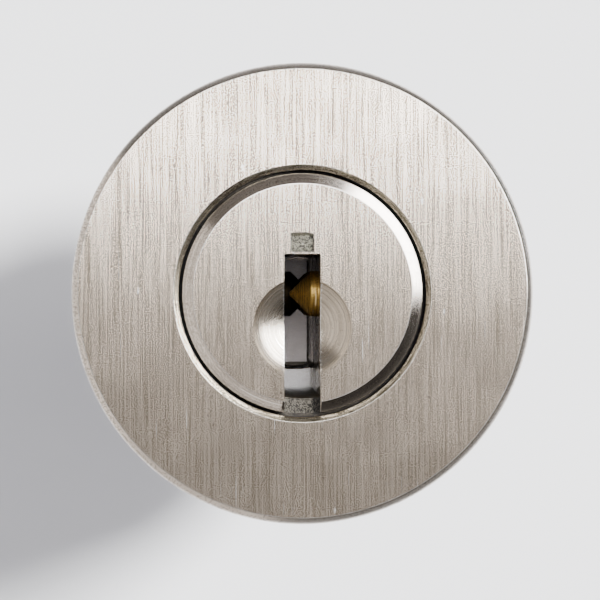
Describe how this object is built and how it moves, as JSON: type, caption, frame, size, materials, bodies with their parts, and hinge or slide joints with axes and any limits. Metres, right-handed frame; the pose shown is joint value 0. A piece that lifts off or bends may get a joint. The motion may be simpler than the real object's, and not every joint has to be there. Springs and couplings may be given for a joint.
{
  "type": "lock cylinder",
  "caption": "Round-bodied door lock cylinder with a vertical slot keyway, side pin rows that work on a dimple key, and a snap-off tail bar.",
  "frame": {"origin": "centre of the round body's back face, midway between the two fixing screw holes", "axes": "+Z out of the keyhole face along the plug's axis, +Y towards the closed top of the keyway, +X to the right seen from the front"},
  "size_m": [0.028, 0.028, 0.0971],
  "materials": {
    "nickel_plate": "brass, satin nickel plate with upright brush lines",
    "plated_plugs": "nickel plated brass, turned flush with the body",
    "cap_plate": "nickel plated brass, turned",
    "pin_brass": "turned brass",
    "pin_steel": "turned steel",
    "hardened_steel": "hardened steel, dark",
    "spring_steel": "drawn steel wire",
    "bright_steel": "bright punched steel",
    "zinc_plate": "blue zinc plate on steel"
  },
  "bodies": {
    "housing": {"housing": "nickel_plate", "housing_guard_pins": "hardened_steel", "chamber_plugs_right": "plated_plugs", "chamber_plugs_left": "plated_plugs", "spring_right_1": "spring_steel", "spring_right_2": "spring_steel", "spring_right_3": "spring_steel", "spring_right_4": "spring_steel", "spring_right_5": "spring_steel", "spring_left_1": "spring_steel", "spring_left_2": "spring_steel", "spring_left_3": "spring_steel", "spring_left_4": "spring_steel", "spring_left_5": "spring_steel"},
    "plug": {"plug": "nickel_plate", "plug_guard_pins": "hardened_steel", "thrust_washer": "bright_steel", "tail_cap": "cap_plate", "cap_lock_spring": "spring_steel"},
    "key_pin_right_1": {"key_pin_right_1": "pin_brass"},
    "driver_pin_right_1": {"driver_pin_right_1": "pin_steel"},
    "key_pin_right_2": {"key_pin_right_2": "pin_brass"},
    "driver_pin_right_2": {"driver_pin_right_2": "pin_steel"},
    "key_pin_right_3": {"key_pin_right_3": "pin_brass"},
    "driver_pin_right_3": {"driver_pin_right_3": "pin_steel"},
    "key_pin_right_4": {"key_pin_right_4": "pin_brass"},
    "driver_pin_right_4": {"driver_pin_right_4": "pin_steel"},
    "key_pin_right_5": {"key_pin_right_5": "pin_brass"},
    "driver_pin_right_5": {"driver_pin_right_5": "pin_steel"},
    "key_pin_left_1": {"key_pin_left_1": "pin_brass"},
    "driver_pin_left_1": {"driver_pin_left_1": "pin_steel"},
    "key_pin_left_2": {"key_pin_left_2": "pin_brass"},
    "driver_pin_left_2": {"driver_pin_left_2": "pin_steel"},
    "key_pin_left_3": {"key_pin_left_3": "pin_brass"},
    "driver_pin_left_3": {"driver_pin_left_3": "pin_steel"},
    "key_pin_left_4": {"key_pin_left_4": "pin_brass"},
    "driver_pin_left_4": {"driver_pin_left_4": "pin_steel"},
    "key_pin_left_5": {"key_pin_left_5": "pin_brass"},
    "driver_pin_left_5": {"driver_pin_left_5": "pin_steel"},
    "tail_bar": {"tail_bar": "zinc_plate"},
    "cap_lock_pin": {"cap_lock_pin": "hardened_steel"}
  },
  "joints": [
    {"name": "plug_turn", "type": "hinge", "parent": "housing", "child": "plug", "pos_m": [0, 0, 0.033], "axis": [0, 0, 1], "range_deg": [-180, 360]},
    {"name": "key_pin_right_1_lift", "type": "slide", "parent": "plug", "child": "key_pin_right_1", "axis": [1, 0, 0], "range_m": [0, 0.0018], "stiffness_N_per_m": 500, "springref_m": -0.0005},
    {"name": "driver_pin_right_1_lift", "type": "slide", "parent": "housing", "child": "driver_pin_right_1", "axis": [1, 0, 0], "range_m": [0, 0.0018], "stiffness_N_per_m": 300, "deforming": ["spring_right_1"]},
    {"name": "key_pin_right_2_lift", "type": "slide", "parent": "plug", "child": "key_pin_right_2", "axis": [1, 0, 0], "range_m": [0, 0.0018], "stiffness_N_per_m": 500, "springref_m": -0.0005},
    {"name": "driver_pin_right_2_lift", "type": "slide", "parent": "housing", "child": "driver_pin_right_2", "axis": [1, 0, 0], "range_m": [0, 0.0018], "stiffness_N_per_m": 300, "deforming": ["spring_right_2"]},
    {"name": "key_pin_right_3_lift", "type": "slide", "parent": "plug", "child": "key_pin_right_3", "axis": [1, 0, 0], "range_m": [0, 0.0018], "stiffness_N_per_m": 500, "springref_m": -0.0005},
    {"name": "driver_pin_right_3_lift", "type": "slide", "parent": "housing", "child": "driver_pin_right_3", "axis": [1, 0, 0], "range_m": [0, 0.0018], "stiffness_N_per_m": 300, "deforming": ["spring_right_3"]},
    {"name": "key_pin_right_4_lift", "type": "slide", "parent": "plug", "child": "key_pin_right_4", "axis": [1, 0, 0], "range_m": [0, 0.0018], "stiffness_N_per_m": 500, "springref_m": -0.0005},
    {"name": "driver_pin_right_4_lift", "type": "slide", "parent": "housing", "child": "driver_pin_right_4", "axis": [1, 0, 0], "range_m": [0, 0.0018], "stiffness_N_per_m": 300, "deforming": ["spring_right_4"]},
    {"name": "key_pin_right_5_lift", "type": "slide", "parent": "plug", "child": "key_pin_right_5", "axis": [1, 0, 0], "range_m": [0, 0.0018], "stiffness_N_per_m": 500, "springref_m": -0.0005},
    {"name": "driver_pin_right_5_lift", "type": "slide", "parent": "housing", "child": "driver_pin_right_5", "axis": [1, 0, 0], "range_m": [0, 0.0018], "stiffness_N_per_m": 300, "deforming": ["spring_right_5"]},
    {"name": "key_pin_left_1_lift", "type": "slide", "parent": "plug", "child": "key_pin_left_1", "axis": [-1, 0, 0], "range_m": [0, 0.0018], "stiffness_N_per_m": 500, "springref_m": -0.0005},
    {"name": "driver_pin_left_1_lift", "type": "slide", "parent": "housing", "child": "driver_pin_left_1", "axis": [-1, 0, 0], "range_m": [0, 0.0018], "stiffness_N_per_m": 300, "deforming": ["spring_left_1"]},
    {"name": "key_pin_left_2_lift", "type": "slide", "parent": "plug", "child": "key_pin_left_2", "axis": [-1, 0, 0], "range_m": [0, 0.0018], "stiffness_N_per_m": 500, "springref_m": -0.0005},
    {"name": "driver_pin_left_2_lift", "type": "slide", "parent": "housing", "child": "driver_pin_left_2", "axis": [-1, 0, 0], "range_m": [0, 0.0018], "stiffness_N_per_m": 300, "deforming": ["spring_left_2"]},
    {"name": "key_pin_left_3_lift", "type": "slide", "parent": "plug", "child": "key_pin_left_3", "axis": [-1, 0, 0], "range_m": [0, 0.0018], "stiffness_N_per_m": 500, "springref_m": -0.0005},
    {"name": "driver_pin_left_3_lift", "type": "slide", "parent": "housing", "child": "driver_pin_left_3", "axis": [-1, 0, 0], "range_m": [0, 0.0018], "stiffness_N_per_m": 300, "deforming": ["spring_left_3"]},
    {"name": "key_pin_left_4_lift", "type": "slide", "parent": "plug", "child": "key_pin_left_4", "axis": [-1, 0, 0], "range_m": [0, 0.0018], "stiffness_N_per_m": 500, "springref_m": -0.0005},
    {"name": "driver_pin_left_4_lift", "type": "slide", "parent": "housing", "child": "driver_pin_left_4", "axis": [-1, 0, 0], "range_m": [0, 0.0018], "stiffness_N_per_m": 300, "deforming": ["spring_left_4"]},
    {"name": "key_pin_left_5_lift", "type": "slide", "parent": "plug", "child": "key_pin_left_5", "axis": [-1, 0, 0], "range_m": [0, 0.0018], "stiffness_N_per_m": 500, "springref_m": -0.0005},
    {"name": "driver_pin_left_5_lift", "type": "slide", "parent": "housing", "child": "driver_pin_left_5", "axis": [-1, 0, 0], "range_m": [0, 0.0018], "stiffness_N_per_m": 300, "deforming": ["spring_left_5"]},
    {"name": "tail_tilt", "type": "hinge", "parent": "plug", "child": "tail_bar", "pos_m": [0, 0, -0.00492], "axis": [0, 1, 0], "range_deg": [-3, 3]},
    {"name": "cap_lock_press", "type": "slide", "parent": "plug", "child": "cap_lock_pin", "axis": [0, 0, 1], "range_m": [0, 0.0016], "stiffness_N_per_m": 300, "springref_m": -0.0005, "deforming": ["cap_lock_spring"]}
  ],
  "couplings": [
    {"joint": "driver_pin_right_1_lift", "follows": "key_pin_right_1_lift", "ratio": 1},
    {"joint": "driver_pin_right_2_lift", "follows": "key_pin_right_2_lift", "ratio": 1},
    {"joint": "driver_pin_right_3_lift", "follows": "key_pin_right_3_lift", "ratio": 1},
    {"joint": "driver_pin_right_4_lift", "follows": "key_pin_right_4_lift", "ratio": 1},
    {"joint": "driver_pin_right_5_lift", "follows": "key_pin_right_5_lift", "ratio": 1},
    {"joint": "driver_pin_left_1_lift", "follows": "key_pin_left_1_lift", "ratio": 1},
    {"joint": "driver_pin_left_2_lift", "follows": "key_pin_left_2_lift", "ratio": 1},
    {"joint": "driver_pin_left_3_lift", "follows": "key_pin_left_3_lift", "ratio": 1},
    {"joint": "driver_pin_left_4_lift", "follows": "key_pin_left_4_lift", "ratio": 1},
    {"joint": "driver_pin_left_5_lift", "follows": "key_pin_left_5_lift", "ratio": 1}
  ]
}
